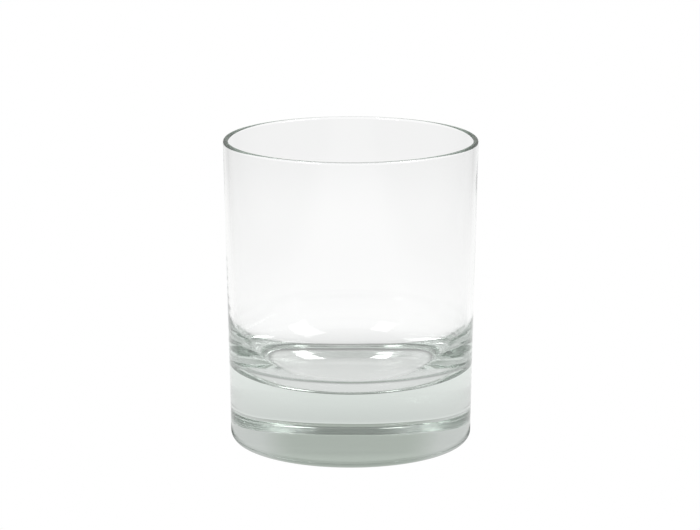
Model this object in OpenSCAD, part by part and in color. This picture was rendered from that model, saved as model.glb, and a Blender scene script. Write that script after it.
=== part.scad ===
// Whiskey tumbler: a plain round glass with a thin wall, a thick solid base and a slight taper.
// It is a single piece of glass, so the whole object is one outline turned about the Z axis.
// Millimetres, +Z up. The origin is the centre of the foot, on the surface the glass stands on.

/* [Outside] */
// Height from the table to the top of the lip
height = 99; // [80:0.5:130]
// Outside diameter at the mouth
mouth_d = 82; // [68:0.5:100]
// Outside diameter at the foot, measured as if the heel were square
foot_d = 78; // [66:0.5:96]

/* [Lip and wall] */
// Thickness of the wall at the lip, which is rounded right over
lip_t = 1.7; // [1.2:0.1:4]
// Thickness of the wall where it begins to thicken towards the base
wall_t = 1.8; // [1.2:0.1:5]

/* [Inner corner] */
// Height above the middle of the floor at which the wall begins to thicken
flare_rise = 22; // [18:0.5:26]
// Radius of the wide curve in which the wall thickens
flare_r = 30; // [24:1:60]
// Radius of the tighter curve that carries on from there to the floor
corner_r = 13; // [8:0.5:16]

/* [Solid base] */
// Thickness of the glass under the middle of the floor
base_t = 20; // [12:0.5:34]
// Radius of the shallow bowl that the floor is pressed to
floor_r = 140; // [90:5:600]

/* [Foot] */
// Radius of the rounded heel between the side and the underside
heel_r = 3; // [1:0.25:6]
// Width of the flat ring that the glass stands on
ring_w = 6; // [2:0.5:12]
// Depth of the shallow hollow inside that ring
hollow_depth = 0.8; // [0.3:0.1:2]

/* [Hidden] */

// Facets round the axis when the model is shown as a mesh
$fn = 180;
// Largest turn, in degrees, from one point of a small arc to the next
small_arc_step = 6;
// The same for the wide, shallow arcs
wide_arc_step = 2;

// Radii of the mouth and the foot
mouth_r = mouth_d / 2;
foot_r = foot_d / 2;

// Lean of the outer side from upright, and its radius at a given height
outer_lean = atan2(mouth_r - foot_r, height);
function outer_r(z) = foot_r + z * tan(outer_lean);

// The inner side is a straight line from the lip down to where the wall begins to thicken
inner_top = [mouth_r - lip_t, height];
flare_z = base_t + flare_rise;
flare_top = [outer_r(flare_z) - wall_t, flare_z];
inner_lean = atan2(inner_top.x - flare_top.x, inner_top.y - flare_top.y);
inner_side_to_axis = [-cos(inner_lean), sin(inner_lean)];

// The lip is one arc that touches the outer side, the top and the inner side
lip_outer_reach = tan((90 + outer_lean) / 2);
lip_inner_reach = tan((90 - inner_lean) / 2);
lip_r = lip_t / (lip_outer_reach + lip_inner_reach);
lip_centre = [mouth_r - lip_r * lip_outer_reach, height - lip_r];

// The flare arc starts along the inner side, and bends in towards the axis
flare_centre = flare_top + flare_r * inner_side_to_axis;

// The floor is part of a sphere whose centre is high above it on the axis
floor_centre = [0, base_t + floor_r];

// The corner arc touches the flare arc and the floor arc from within, so its centre is
// flare_r - corner_r from the one's centre and floor_r - corner_r from the other's
to_flare = flare_r - corner_r;
to_floor = floor_r - corner_r;
between = norm(floor_centre - flare_centre);
toward_floor_centre = (floor_centre - flare_centre) / between;
away_from_axis = [toward_floor_centre.y, -toward_floor_centre.x];
along = (pow(to_flare, 2) - pow(to_floor, 2) + pow(between, 2)) / (2 * between);
across = sqrt(pow(to_flare, 2) - pow(along, 2));
corner_centre = flare_centre + along * toward_floor_centre + across * away_from_axis;
flare_to_corner = corner_centre - flare_centre;
corner_to_floor = corner_centre - floor_centre;
flare_end_angle = atan2(flare_to_corner.y, flare_to_corner.x);
floor_edge_angle = atan2(corner_to_floor.y, corner_to_floor.x);

// The heel is an arc that touches the outer side and the foot
heel_centre = [foot_r - heel_r * tan((90 - outer_lean) / 2), heel_r];

// The hollow under the glass is part of a sphere, and starts at the ring's inner edge
ring_inner_r = heel_centre.x - ring_w;
hollow_r = (pow(ring_inner_r, 2) + pow(hollow_depth, 2)) / (2 * hollow_depth);
hollow_centre = [0, hollow_depth - hollow_r];
hollow_edge_angle = acos(ring_inner_r / hollow_r);

// Points along an arc, evenly spaced, with its first end but not its last
function open_arc(centre, r, from, to, step) =
    let (count = ceil(abs(to - from) / step))
    [for (i = [0 : count - 1]) let (a = from + (to - from) * i / count) centre + r * [cos(a), sin(a)]];

// The same with both of its ends
function arc(centre, r, from, to, step) =
    concat(open_arc(centre, r, from, to, step), [centre + r * [cos(to), sin(to)]]);

// Half of the glass, cut through the axis: underside, heel, outer side, lip, inner side, floor
module half_section() {
    polygon(concat(
        arc(hollow_centre, hollow_r, 90, hollow_edge_angle, wide_arc_step),
        arc(heel_centre, heel_r, -90, -outer_lean, small_arc_step),
        arc(lip_centre, lip_r, -outer_lean, 180 - inner_lean, small_arc_step),
        open_arc(flare_centre, flare_r, -inner_lean, flare_end_angle, wide_arc_step),
        open_arc(corner_centre, corner_r, flare_end_angle, floor_edge_angle, small_arc_step),
        arc(floor_centre, floor_r, floor_edge_angle, -90, wide_arc_step)
    ));
}

module tumbler() {
    color([0.86, 0.92, 0.9, 0.45])
        rotate_extrude()
            half_section();
}

tumbler();
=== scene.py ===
# %% [markdown]
# # A whiskey tumbler in clear glass
# A plain tumbler is one piece of pressed glass: a thin wall with a rounded lip, and a thick solid
# base under a shallow bowl of a floor. Clear glass has almost no colour of its own. Nearly all that
# the eye sees is the room, bent by the glass, so three things make the picture: the exact shape of
# both sides of the wall, a faint tint that only thick glass shows, and the light of the studio.

import bpy
import numpy as np
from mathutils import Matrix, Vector


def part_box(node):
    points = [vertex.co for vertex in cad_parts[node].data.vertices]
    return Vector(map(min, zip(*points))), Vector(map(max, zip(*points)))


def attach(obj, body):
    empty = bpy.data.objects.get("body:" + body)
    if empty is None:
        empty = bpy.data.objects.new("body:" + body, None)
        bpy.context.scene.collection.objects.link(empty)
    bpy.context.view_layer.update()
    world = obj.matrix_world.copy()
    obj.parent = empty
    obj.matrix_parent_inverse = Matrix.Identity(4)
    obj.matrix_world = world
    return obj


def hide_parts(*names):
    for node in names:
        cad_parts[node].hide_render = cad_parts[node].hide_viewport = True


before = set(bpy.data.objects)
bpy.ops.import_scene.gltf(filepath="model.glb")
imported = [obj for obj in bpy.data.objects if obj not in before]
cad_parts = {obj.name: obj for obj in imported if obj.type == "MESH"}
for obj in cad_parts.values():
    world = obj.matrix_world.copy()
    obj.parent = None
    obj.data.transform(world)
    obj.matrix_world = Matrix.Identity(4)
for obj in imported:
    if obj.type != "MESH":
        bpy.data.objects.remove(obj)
scene = bpy.context.scene
MM = 0.001


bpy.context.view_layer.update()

# %% [markdown]
# ## The camera
# A long lens, about a metre away and a little above the rim, keeps the sides of the glass nearly
# parallel and shows the mouth as a slim oval. A wide lens close up would flare the rim out and
# squeeze the foot. The camera comes first, so that every later step can be judged through it.

# %% Camera
CAMERA_DISTANCE = 1000 * MM
CAMERA_HEIGHT = 285.3 * MM
LOOKS_DOWN = np.radians(12.837)

lens = bpy.data.cameras.new("camera")
lens.sensor_width = 36
lens.lens = 163.1
lens.shift_x = -0.001
lens.clip_start = 0.01
camera = bpy.data.objects.new("camera", lens)
camera.location = (0, -CAMERA_DISTANCE, CAMERA_HEIGHT)
camera.rotation_euler = (np.pi / 2 - LOOKS_DOWN, 0, 0)
scene.collection.objects.link(camera)
scene.camera = camera
print("the camera looks down by", round(float(np.degrees(LOOKS_DOWN)), 1), "degrees")

# %% [markdown]
# ## The sizes of the glass
# The height and the width of the mouth come from the frame, so this glass always fits the solid
# that it stands for. The rest are the sizes a glassmaker would give for the mould: how thick the
# lip, wall and base are, and the radius of each rounded corner.

# %% Sizes
low_corner, high_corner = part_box("tumbler")
HEIGHT = high_corner.z - low_corner.z
MOUTH_RADIUS = (high_corner.x - low_corner.x) / 2
FOOT_RADIUS = 39 * MM
LIP_THICKNESS = 1.7 * MM
WALL_THICKNESS = 1.8 * MM
FLARE_RISE = 22 * MM
FLARE_RADIUS = 30 * MM
CORNER_RADIUS = 13 * MM
BASE_THICKNESS = 20 * MM
FLOOR_RADIUS = 140 * MM
HEEL_RADIUS = 3 * MM
RING_WIDTH = 6 * MM
HOLLOW_DEPTH = 0.8 * MM
print("height", round(HEIGHT / MM, 2), "mm, mouth", round(2 * MOUTH_RADIUS / MM, 2), "mm")

# %% [markdown]
# ## Drawing an outline from arcs and straights
# Half a cross-section is all that a round thing needs. It could be drawn with a Bezier curve, but a
# pressed glass is really made of true arcs and straights that touch smoothly, and at each joint the
# glass bends light without a break. So each stretch gives its points together with the direction
# that the surface faces there, which keeps the joints as smooth as the real mould's.

# %% Stretches of the outline


def direction(angle):
    """A unit step at an angle, measured in the plane of radius and height."""
    return np.stack([np.cos(angle), np.sin(angle)], axis=-1)


def arc(centre, radius, start, end, count, hollow=False):
    """Centre plus radius times the direction, for even steps from start to end.

    The surface faces away from the centre, or towards it where the arc is hollow."""
    facing = direction(np.linspace(start, end, count))
    return centre + radius * facing, -facing if hollow else facing


def straight(start, end, facing, count):
    """Even steps between two points, without the points themselves, which the arcs already have."""
    share = np.linspace(0, 1, count + 2)[1:-1, None]
    points = start * (1 - share) + end * share
    return points, np.broadcast_to(facing, points.shape)


print("a quarter circle of 1 ends at", arc(np.zeros(2), 1, 0, np.pi / 2, 5)[0][-1].round(6))

# %% [markdown]
# ## The outside: underside, heel and side
# The foot of such a glass isn't flat. A ring a few millimetres wide carries it, round a very
# shallow hollow that keeps the middle off the table. The heel between ring and side is a small arc:
# seen through the base it becomes the dark band low down, so its radius matters.

# %% Outside
outer_lean = np.arctan2(MOUTH_RADIUS - FOOT_RADIUS, HEIGHT)
outer_facing = direction(-outer_lean)

heel_reach = HEEL_RADIUS * np.tan((np.pi / 2 - outer_lean) / 2)
heel_centre = np.array([FOOT_RADIUS - heel_reach, HEEL_RADIUS])
ring_inner_radius = heel_centre[0] - RING_WIDTH
hollow_radius = (ring_inner_radius**2 + HOLLOW_DEPTH**2) / (2 * HOLLOW_DEPTH)
hollow_centre = np.array([0, HOLLOW_DEPTH - hollow_radius])
hollow_edge = np.arccos(ring_inner_radius / hollow_radius)

hollow_part = arc(hollow_centre, hollow_radius, np.pi / 2, hollow_edge, 16, hollow=True)
heel_part = arc(heel_centre, HEEL_RADIUS, -np.pi / 2, -outer_lean, 16)
ring_part = straight(hollow_part[0][-1], heel_part[0][0], np.array([0, -1]), 5)
print("the standing ring is", round(2 * heel_centre[0] / MM, 1), "mm across outside")

# %% [markdown]
# ## The inside: wall, flare, corner and floor
# The wall is thin and almost straight, then thickens towards the base in a wide curve, the flare,
# and turns into the floor in a tighter one, the corner. Where two arcs touch from within, their
# centres are as far apart as their radii differ. That gives two distances to the corner's centre,
# and the centre is where those two circles cross, on the side away from the axis.

# %% Inside
shoulder_height = BASE_THICKNESS + FLARE_RISE
shoulder_outside = FOOT_RADIUS + shoulder_height * np.tan(outer_lean)
shoulder = np.array([shoulder_outside - WALL_THICKNESS, shoulder_height])
inner_top = np.array([MOUTH_RADIUS - LIP_THICKNESS, HEIGHT])
inner_lean = np.arctan2(*(inner_top - shoulder))
inner_facing = direction(np.pi - inner_lean)
flare_centre = shoulder + FLARE_RADIUS * inner_facing
floor_centre = np.array([0, BASE_THICKNESS + FLOOR_RADIUS])


def where_circles_cross(first, first_radius, second, second_radius):
    """The crossing of two circles that lies to the right of the way from first to second.

    The way along is (a squared - b squared + d squared) / 2d, and the way across is what is left
    of a by Pythagoras."""
    gap = np.linalg.norm(second - first)
    unit = (second - first) / gap
    along = (first_radius**2 - second_radius**2 + gap**2) / (2 * gap)
    across = np.sqrt(first_radius**2 - along**2)
    return first + along * unit + across * np.array([unit[1], -unit[0]])


corner_centre = where_circles_cross(
    flare_centre, FLARE_RADIUS - CORNER_RADIUS, floor_centre, FLOOR_RADIUS - CORNER_RADIUS
)
flare_end = np.arctan2(*(corner_centre - flare_centre)[::-1])
floor_edge = np.arctan2(*(corner_centre - floor_centre)[::-1])
flare_part = arc(flare_centre, FLARE_RADIUS, -inner_lean, flare_end, 30, hollow=True)
corner_part = arc(corner_centre, CORNER_RADIUS, flare_end, floor_edge, 26, hollow=True)
floor_part = arc(floor_centre, FLOOR_RADIUS, floor_edge, -np.pi / 2, 22, hollow=True)
print("the floor's edge is at a radius of", round(floor_part[0][0, 0] / MM, 1), "mm")

# %% [markdown]
# ## The lip, and the whole outline
# The lip is melted round by a flame after pressing. One arc touches the outside, the top and the
# inside, so its radius follows from the wall's thickness. The whole outline then runs from the
# middle of the underside, out and up the side, over the lip, and down to the middle of the floor.

# %% Lip and outline
outer_reach = np.tan((np.pi / 2 + outer_lean) / 2)
inner_reach = np.tan((np.pi / 2 - inner_lean) / 2)
lip_radius = LIP_THICKNESS / (outer_reach + inner_reach)
lip_centre = np.array([MOUTH_RADIUS - lip_radius * outer_reach, HEIGHT - lip_radius])
lip_part = arc(lip_centre, lip_radius, -outer_lean, np.pi - inner_lean, 18)
outside_part = straight(heel_part[0][-1], lip_part[0][0], outer_facing, 74)
inside_part = straight(lip_part[0][-1], flare_part[0][0], inner_facing, 54)

# An arc that carries straight on from the one before it leaves out the point they share
parts = [hollow_part, ring_part, heel_part, outside_part, lip_part, inside_part, flare_part]
parts += [[array[1:] for array in part] for part in (corner_part, floor_part)]
outline = np.concatenate([points for points, facing in parts])
outline_faces = np.concatenate([facing for points, facing in parts])
print("the outline has", len(outline), "points")

# %% [markdown]
# ## The slow waves of pressed glass
# No pressed glass is perfectly even. Both sides wander by a few hundredths of a millimetre over
# some centimetres, which is far too little to see as a shape, but it makes the lines in the thick
# base waver. A noise texture as bump would only shade the surface, and would be lost in the mesh.
# Here a sum of slow cosines moves the surface along the direction that it faces. It fades out at
# the poles, the lip and the standing ring, so that those stay true, and is a quarter as strong in
# the thin wall, where full waves would smudge its edges.

# %% Waves
TURNS = 320
turn = np.arange(TURNS) * 2 * np.pi / TURNS
steps = np.linalg.norm(np.diff(outline, axis=0), axis=1)
way = np.concatenate([[0], np.cumsum(steps)])[:, None]
radius, height = outline[:, :1], outline[:, 1:]
lip_row = int(np.argmax(outline[:, 1]))
is_inside = np.arange(len(outline))[:, None] > lip_row


def fade(value, start, end):
    """0 before start, 1 after end, and 3u squared - 2u cubed between them."""
    share = np.clip((value - start) / (end - start), 0, 1)
    return share**2 * (3 - 2 * share)


# Each wave: how high in millimetres, how often it rises in one turn, the length of the outline that
# it takes, in millimetres, and where it starts
INNER_WAVES = [(0.030, 2, 61, 0.4), (0.022, 3, 43, 2.1), (0.012, 7, 29, 4.0), (0.006, 13, 17, 1.2)]
OUTER_WAVES = [(0.012, 2, 70, 1.0), (0.008, 5, 38, 3.3), (0.004, 11, 23, 5.1)]


def waves(terms):
    """The sum of height x cosine(times x turn + way / length + start) over the terms."""
    total = 0
    for rise, times, length, start in terms:
        total = total + rise * MM * np.cos(times * turn + 2 * np.pi * way / (length * MM) + start)
    return total


POLE_FADE = (4 * MM, 16 * MM)
LIP_FADE = (2 * MM, 14 * MM)
RING_FADE = (HEEL_RADIUS, 9 * MM)
CALM_FADE = (36 * MM, 58 * MM)
CALMED_BY = 0.75

clear_of_poles = fade(radius, *POLE_FADE)
clear_of_lip = fade(HEIGHT - height, *LIP_FADE)
clear_of_ring = fade(height, *RING_FADE)
inner_height = waves(INNER_WAVES)
# The outside only ever sinks, so that the glass stays within its true width
outer_height = waves(OUTER_WAVES) - sum(term[0] for term in OUTER_WAVES) * MM
calmer_wall = 1 - CALMED_BY * fade(height, *CALM_FADE)
wave_height = np.where(is_inside, inner_height, outer_height * clear_of_ring) * calmer_wall
wave_height = wave_height * clear_of_poles * clear_of_lip
print("waves reach", round(float(np.abs(wave_height).max() / MM), 3), "mm")

# %% [markdown]
# ## Drag marks on one side
# Where the gob of glass touched the mould first, the wall keeps a small patch of short, flat
# ripples. They are about a hundredth of a millimetre high, and show best near the edge of the
# glass, where one looks along the wall. They are made like the waves, inside a soft-edged window.

# %% Drag marks
MARK_TURN = np.radians(190)
MARK_HALF_WIDTH = np.radians(34)
MARK_HEIGHT = 52 * MM
MARK_HALF_HEIGHT = 15 * MM
MARK_LENGTH = 3.4 * MM
MARK_DEPTH = 0.011 * MM
MARK_SWAY = 2.2
SWAYS_PER_TURN = 3
MARK_DRIFT = 5 * MM

across_marks = fade(MARK_HALF_WIDTH - np.abs(turn - MARK_TURN), 0, MARK_HALF_WIDTH / 2)
along_marks = fade(MARK_HALF_HEIGHT - np.abs(height - MARK_HEIGHT), 0, MARK_HALF_HEIGHT / 2)
sway = MARK_SWAY * np.cos(SWAYS_PER_TURN * turn)
ripple = np.cos(2 * np.pi * height / MARK_LENGTH + sway + height / MARK_DRIFT)
wave_height = wave_height + MARK_DEPTH * ripple * across_marks * along_marks * is_inside
print("the marks are", round(2 * MARK_HALF_HEIGHT / MM), "mm tall")

# %% [markdown]
# ## Turning the outline into one closed mesh
# A Screw modifier could turn an outline too, but then the waves and the exact facing of each point
# would be lost. Instead each point of the outline becomes a ring of points. The facing is tilted by
# the slope of the waves: along the outline, and round the ring divided by its radius. Both ends of
# the outline lie on the axis, so each end is one point with a fan of triangles round it.

# %% Closed mesh


def turned(pairs):
    """Radius and height pairs carried round the axis, as (r cos t, r sin t, z) for every turn t."""
    r, z = pairs[:, :1], pairs[:, 1:]
    return np.stack([r * np.cos(turn), r * np.sin(turn), z + 0 * turn], axis=-1)


def lathe(name, grid, facing=None, open_edge=False):
    """Joins each ring of points to the next by quads, and the first and last ones by fans.

    A ring on the axis counts as one point. With open_edge the last ring is left as an edge."""
    turns = grid.shape[1]
    number = np.arange(len(grid) * turns).reshape(-1, turns)
    number[0] = number[0, 0]
    if not open_edge:
        number[-1] = number[-1, 0]
    this, after = number[:-1], number[1:]
    quads = np.stack([this, np.roll(this, -1, axis=1), np.roll(after, -1, axis=1), after], axis=-1)
    first_fan = quads[0][:, [0, 2, 3]]
    last_fan = quads[:0, 0] if open_edge else quads[-1][:, [0, 1, 2]]
    middle = quads[1:] if open_edge else quads[1:-1]
    kept = np.unique(number)
    renumber = np.zeros(grid.size // 3, dtype=int)
    renumber[kept] = np.arange(len(kept))
    groups = (first_fan, middle, last_fan)
    faces = [renumber[part].reshape(-1, part.shape[-1]).tolist() for part in groups]
    mesh = bpy.data.meshes.new(name)
    mesh.from_pydata(grid.reshape(-1, 3)[kept].tolist(), [], sum(faces, []))
    mesh.shade_smooth()
    if facing is not None:
        mesh.normals_split_custom_set_from_vertices(facing.reshape(-1, 3)[kept].tolist())
    piece = bpy.data.objects.new(name, mesh)
    scene.collection.objects.link(piece)
    return piece


along_outline = np.stack([-outline_faces[:, 1], outline_faces[:, 0]], axis=1)
around = np.stack([-np.sin(turn), np.cos(turn), 0 * turn], axis=-1)
slope_along = np.gradient(wave_height, way[:, 0], axis=0)
slope_around = (np.roll(wave_height, -1, axis=1) - np.roll(wave_height, 1, axis=1)) / (2 * turn[1])
slope_around = slope_around / np.maximum(radius, 1 * MM)

facing = turned(outline_faces)
grid = turned(outline) + wave_height[..., None] * facing
facing = facing - slope_along[..., None] * turned(along_outline) - slope_around[..., None] * around
facing = facing / np.linalg.norm(facing, axis=-1, keepdims=True)

glass = lathe("clear_glass_body", grid, facing)
glass.data.calc_loop_triangles()
print("the glass has", len(glass.data.loop_triangles), "triangles")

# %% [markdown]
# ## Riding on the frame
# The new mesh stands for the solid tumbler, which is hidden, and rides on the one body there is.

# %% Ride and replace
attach(glass, "root")
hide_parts("tumbler")

# %% [markdown]
# ## Writing shader maths as sums
# Masks are easier to read as formulas than as a web of nodes. A small class wraps an output socket,
# and its operators add the Math nodes. Any other node comes from one method, which sets what the
# node is before it fills its inputs.

# %% Shader maths


class Wire:
    """An output socket of a node tree, on which + - * / add Math nodes."""

    def __init__(self, tree, socket=None):
        self.tree = tree
        self.socket = socket

    def node(self, kind, settings=None, sockets=None, output=0):
        """A new node's output: its settings first, then a value or a Wire for each named socket."""
        made = self.tree.nodes.new(kind)
        for setting, value in (settings or {}).items():
            setattr(made, setting, value)
        for name, value in (sockets or {}).items():
            if isinstance(value, Wire):
                self.tree.links.new(value.socket, made.inputs[name])
            else:
                made.inputs[name].default_value = value
        return Wire(self.tree, made.outputs[output]) if made.outputs else None

    def maths(self, operation, first, second=0.0):
        """A Math node with two inputs."""
        return self.node("ShaderNodeMath", {"operation": operation}, {0: first, 1: second})

    def __add__(self, other):
        return self.maths("ADD", self, other)

    __radd__ = __add__

    def __sub__(self, other):
        return self.maths("SUBTRACT", self, other)

    def __rsub__(self, other):
        return self.maths("SUBTRACT", other, self)

    def __mul__(self, other):
        return self.maths("MULTIPLY", self, other)

    __rmul__ = __mul__

    def __truediv__(self, other):
        return self.maths("DIVIDE", self, other)

    def __abs__(self):
        return self.maths("ABSOLUTE", self)

    def fade(self, start, end):
        """0 before start and 1 after end, with a soft curve between them."""
        sockets = {"Value": self, "From Min": start, "From Max": end}
        return self.node("ShaderNodeMapRange", {"interpolation_type": "SMOOTHSTEP"}, sockets)

    def mix(self, first, second):
        """The first colour where the mask is 0 and the second where it is 1."""
        # A Mix node names its inputs alike for every kind of data: 6 and 7 are its two colours
        return self.node("ShaderNodeMix", {"data_type": "RGBA"}, {0: self, 6: first, 7: second}, 2)

    def split(self):
        """The three numbers of a vector."""
        apart = self.node("ShaderNodeSeparateXYZ", None, {"Vector": self})
        return [Wire(self.tree, socket) for socket in apart.socket.node.outputs]


def empty_tree(owner):
    """The cleared node tree of a material or world."""
    owner.use_nodes = True
    owner.node_tree.nodes.clear()
    return Wire(owner.node_tree)


print("operators ready:", [name for name in vars(Wire) if name.startswith("__")][2:])

# %% [markdown]
# ## Clear glass
# The glass is soda-lime glass, which bends light by 1.52. Its faint grey-green shows only over a
# long way through the base, so it is an absorption inside the volume. A tinted surface would colour
# the thin wall as much as the base. The surface itself is fire-polished, except for the ring that
# the glass stands on. That ring is scuffed by tables, in scratches that run round it and in small
# patches, so its roughness comes from a mask by height and by noise.

# %% Glass material
GLASS_BENDS_LIGHT = 1.52
TINT = (0.48, 0.57, 0.51, 1)
TINT_STRENGTH = 9.5
SCUFF_ROUGHNESS = 0.28
POLISHED, SCUFFED = (1, 1, 1, 1), (0.93, 0.94, 0.935, 1)
RING_TOP = (0.02 * MM, 0.35 * MM)
PATCHES_PER_METRE = 240
PATCH_EDGE = (0.42, 0.62)
SCRATCH_STRETCH = 60
SCRATCH_SCALE = 40
SCRATCH_EDGE = (0.45, 0.6)
PLAIN_WEAR, SCRATCH_WEAR = 0.45, 0.55

clear_glass = bpy.data.materials.new("clear_glass")
tree = empty_tree(clear_glass)
place = tree.node("ShaderNodeTexCoord", output="Object")
x, y, z = place.split()
from_axis = tree.maths("SQRT", x * x + y * y)
on_ring = (1 - z.fade(*RING_TOP)) * from_axis.fade(ring_inner_radius - MM, ring_inner_radius)
patches = tree.node(
    "ShaderNodeTexNoise", None, {"Vector": place, "Scale": PATCHES_PER_METRE, "Detail": 5}
)
scratch_place = tree.node(
    "ShaderNodeCombineXYZ", None, {"X": from_axis * SCRATCH_STRETCH, "Y": z * SCRATCH_STRETCH}
)
scratches = tree.node(
    "ShaderNodeTexNoise", None, {"Vector": scratch_place, "Scale": SCRATCH_SCALE, "Detail": 3}
)
scratched = PLAIN_WEAR + SCRATCH_WEAR * scratches.fade(*SCRATCH_EDGE)
wear = on_ring * patches.fade(*PATCH_EDGE) * scratched
surface_colour = wear.mix(POLISHED, SCUFFED)

surface = tree.node(
    "ShaderNodeBsdfPrincipled",
    None,
    {
        "Base Color": surface_colour,
        "Roughness": wear * SCUFF_ROUGHNESS,
        "Transmission Weight": 1.0,
        "IOR": GLASS_BENDS_LIGHT,
    },
)
tint = tree.node("ShaderNodeVolumeAbsorption", None, {"Color": TINT, "Density": TINT_STRENGTH})
tree.node("ShaderNodeOutputMaterial", None, {"Surface": surface, "Volume": tint})
glass.data.materials.append(clear_glass)
tint_per_metre = [round(TINT_STRENGTH * (1 - channel), 2) for channel in TINT[:3]]
print("the tint takes away, per metre of red, green and blue:", tint_per_metre)

# %% [markdown]
# ## The floor
# A clear glass shows what it stands on and what stands round it. The floor is a wide disc that
# gives off an even, pale light, with shade painted into it: a painted contact shadow in a narrow
# ring round the foot, where glass and table shade each other, and painted shade a little darker
# under the glass, towards the sides, in two steps further out, and again far away, below the
# backdrop. Those steps were set one by one. Seen through the base, they are what draws its lines.
# To the camera itself it is plain white, so that the glass stands alone on a clean page. The Light
# Path node tells those two kinds of ray apart. That trick is for the stage only.

# %% Floor
FLOOR_REACH = 8.0
FLOOR_DROP = 0.05 * MM
FLOOR_LIGHT = 1.03
# Painted shade: how much each darker part of the floor's light loses, and where it fades in
UNDER_GLASS_SHADE, UNDER_GLASS_EDGE = 0.19, (35 * MM, 92 * MM)
CONTACT_SHADE, CONTACT_START, CONTACT_END = 0.70, (34 * MM, 40 * MM), (43 * MM, 46 * MM)
SIDE_SHADE, SIDE_EDGE = 0.2, (140 * MM, 300 * MM)
FAR_SHADE, FAR_SHADE_BEHIND, FAR_EDGE = 0.15, 0.35, (0.9, 1.8)
STRAIGHT_BEHIND_EDGE = (0.3, 0.6)
FIRST_STEP_SHADE, FIRST_STEP = 0.05, (100 * MM, 250 * MM)
SECOND_STEP_SHADE, SECOND_STEP = 0.06, (330 * MM, 520 * MM)

spread = np.linspace(0, 1, 60)[:, None] ** 3 * FLOOR_REACH
floor_rings = turned(np.concatenate([spread, 0 * spread - FLOOR_DROP], axis=1))
# Every fourth point is enough, and taking them backwards turns the faces up
floor = lathe("floor", floor_rings[:, ::-4], open_edge=True)

floor_paint = bpy.data.materials.new("floor")
tree = empty_tree(floor_paint)
x, y = tree.node("ShaderNodeTexCoord", output="Object").split()[:2]
from_axis = tree.maths("SQRT", x * x + y * y)
# Painted shade in the floor's light: darker under the glass, a painted contact shadow round the
# foot, darker towards the sides, in two steps further out and far away
shade_under_glass = 1 - UNDER_GLASS_SHADE * (1 - from_axis.fade(*UNDER_GLASS_EDGE))
contact_shadow_ring = from_axis.fade(*CONTACT_START) * (1 - from_axis.fade(*CONTACT_END))
painted_contact_shadow = 1 - CONTACT_SHADE * contact_shadow_ring
sides = 1 - SIDE_SHADE * abs(x).fade(*SIDE_EDGE)
straight_behind = 1 - (abs(x) / from_axis).fade(*STRAIGHT_BEHIND_EDGE)
far_shade = FAR_SHADE + FAR_SHADE_BEHIND * straight_behind
painted_far_shade = 1 - far_shade * from_axis.fade(*FAR_EDGE)
first_step = FIRST_STEP_SHADE * from_axis.fade(*FIRST_STEP)
painted_steps_further_out = 1 - first_step - SECOND_STEP_SHADE * from_axis.fade(*SECOND_STEP)
painted_floor_light = FLOOR_LIGHT * shade_under_glass * painted_contact_shadow * sides * painted_far_shade * painted_steps_further_out


def white_to_camera(light):
    """Plain white for a ray straight from the camera, and the given light for every other ray."""
    straight_ray = light.node("ShaderNodeLightPath", output="Is Camera Ray")
    return straight_ray + (1 - straight_ray) * light


glow = tree.node("ShaderNodeEmission", None, {"Strength": white_to_camera(painted_floor_light)})
tree.node("ShaderNodeOutputMaterial", None, {"Surface": glow})
floor.data.materials.append(floor_paint)
print("the floor is", round(2 * FLOOR_REACH), "m across")

# %% [markdown]
# ## The studio round it
# The walls of the studio are worked out from the direction that a ray leaves in: how high it
# points, and how far round from straight behind the glass. The backdrop behind the glass is a
# middle grey, a little brighter higher up and dark above about 30 degrees. The sides are brighter.
# The wall behind the camera brightens up to 30 degrees. Both are dark near the top of the room.
# These steps were set one by one, until the lines in the base looked right.

# %% World
SIDES_BEGIN = (18, 40)
CAMERA_WALL_BEGINS = (115, 140)
BACKDROP_COLOUR, WHITE = (0.95, 1.0, 0.94, 1), (1, 1, 1, 1)

studio = bpy.data.worlds.new("studio")
scene.world = studio
tree = empty_tree(studio)
x, y, z = tree.node("ShaderNodeTexCoord", output="Generated").split()
rises = tree.maths("ARCSINE", z) * float(np.degrees(1))
turns_away = abs(tree.maths("ARCTAN2", x, y)) * float(np.degrees(1))


def wall_light(lowest, changes):
    """The light at the horizon, plus each change times its fade between two heights in degrees."""
    light = lowest
    for change, start, end in changes:
        light = light + change * rises.fade(start, end)
    return light


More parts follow.
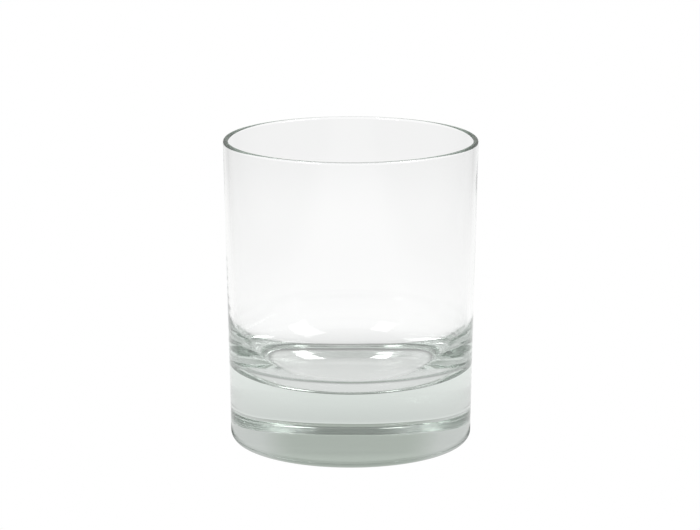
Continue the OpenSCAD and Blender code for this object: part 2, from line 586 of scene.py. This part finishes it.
backdrop = wall_light(0.52, [(0.07, 6, 11), (0.10, 20, 24), (-0.35, 26, 35)])
side_walls = wall_light(0.62, [(0.13, 0, 8), (-0.42, 50, 62)])
camera_wall = wall_light(0.45, [(0.27, 8, 30), (-0.38, 50, 62)])
to_side, to_camera = turns_away.fade(*SIDES_BEGIN), turns_away.fade(*CAMERA_WALL_BEGINS)
room = (1 - to_side) * backdrop + to_side * (1 - to_camera) * side_walls + to_camera * camera_wall
behind_colour = white_to_camera(to_side).mix(BACKDROP_COLOUR, WHITE)
sky = tree.node(
    "ShaderNodeBackground", None, {"Color": behind_colour, "Strength": white_to_camera(room)}
)
tree.node("ShaderNodeOutputWorld", None, {"Surface": sky})
print("the studio has", len(studio.node_tree.nodes), "nodes")

# %% [markdown]
# ## Two softboxes
# Two soft lamps stand left and right of the camera, 45 degrees up, the right one larger and
# further round. They are there for the bright reflections on the curves of the glass. They are
# hidden from the camera, but the glass still reflects them.

# %% Softboxes
LAMP_AIM = Vector((0, 0, 40 * MM))
LAMP_DISTANCE = 1.2
LAMP_RISES = np.radians(45)


def softbox(name, azimuth, width, tall, watts):
    """A rectangular lamp, turned by azimuth round the glass from the camera's side, facing it."""
    lamp = bpy.data.lights.new(name, "AREA")
    lamp.shape = "RECTANGLE"
    lamp.size, lamp.size_y = width, tall
    lamp.energy = watts
    flat = np.cos(LAMP_RISES)
    away = Vector((np.sin(azimuth) * flat, -np.cos(azimuth) * flat, np.sin(LAMP_RISES)))
    softbox_object = bpy.data.objects.new(name, lamp)
    softbox_object.location = LAMP_AIM + away * LAMP_DISTANCE
    softbox_object.rotation_euler = (-away).to_track_quat("-Z", "Y").to_euler()
    softbox_object.visible_camera = False
    scene.collection.objects.link(softbox_object)


softbox("left_softbox", np.radians(-45), 0.35, 0.5, 5.5)
softbox("right_softbox", np.radians(65), 0.45, 0.8, 11)

# %% [markdown]
# ## How light is followed
# Light that enters the lip can be trapped in the thin wall, and bounce between its two sides all
# the way down to the base. A limit of 32 bounces cut it off, and made the rim far too dark, so the
# limit is 160. A mild limit on the brightest indirect light keeps single sparks from speckling the
# glass. The Standard view keeps white paper white.

# %% Light paths
BOUNCES = 160

scene.view_settings.view_transform = "Standard"
scene.cycles.max_bounces = BOUNCES
scene.cycles.transmission_bounces = BOUNCES
scene.cycles.glossy_bounces = BOUNCES
scene.cycles.volume_bounces = 2
scene.cycles.sample_clamp_indirect = 3
scene.cycles.blur_glossy = 0
scene.cycles.use_denoising = True
print("light is followed for up to", BOUNCES, "bounces")

# %% [markdown]
# ## The size
# The new surface is meant to fill the same box as the fixed solid. The waves only ever sink the
# outside, so its box may be a touch smaller.
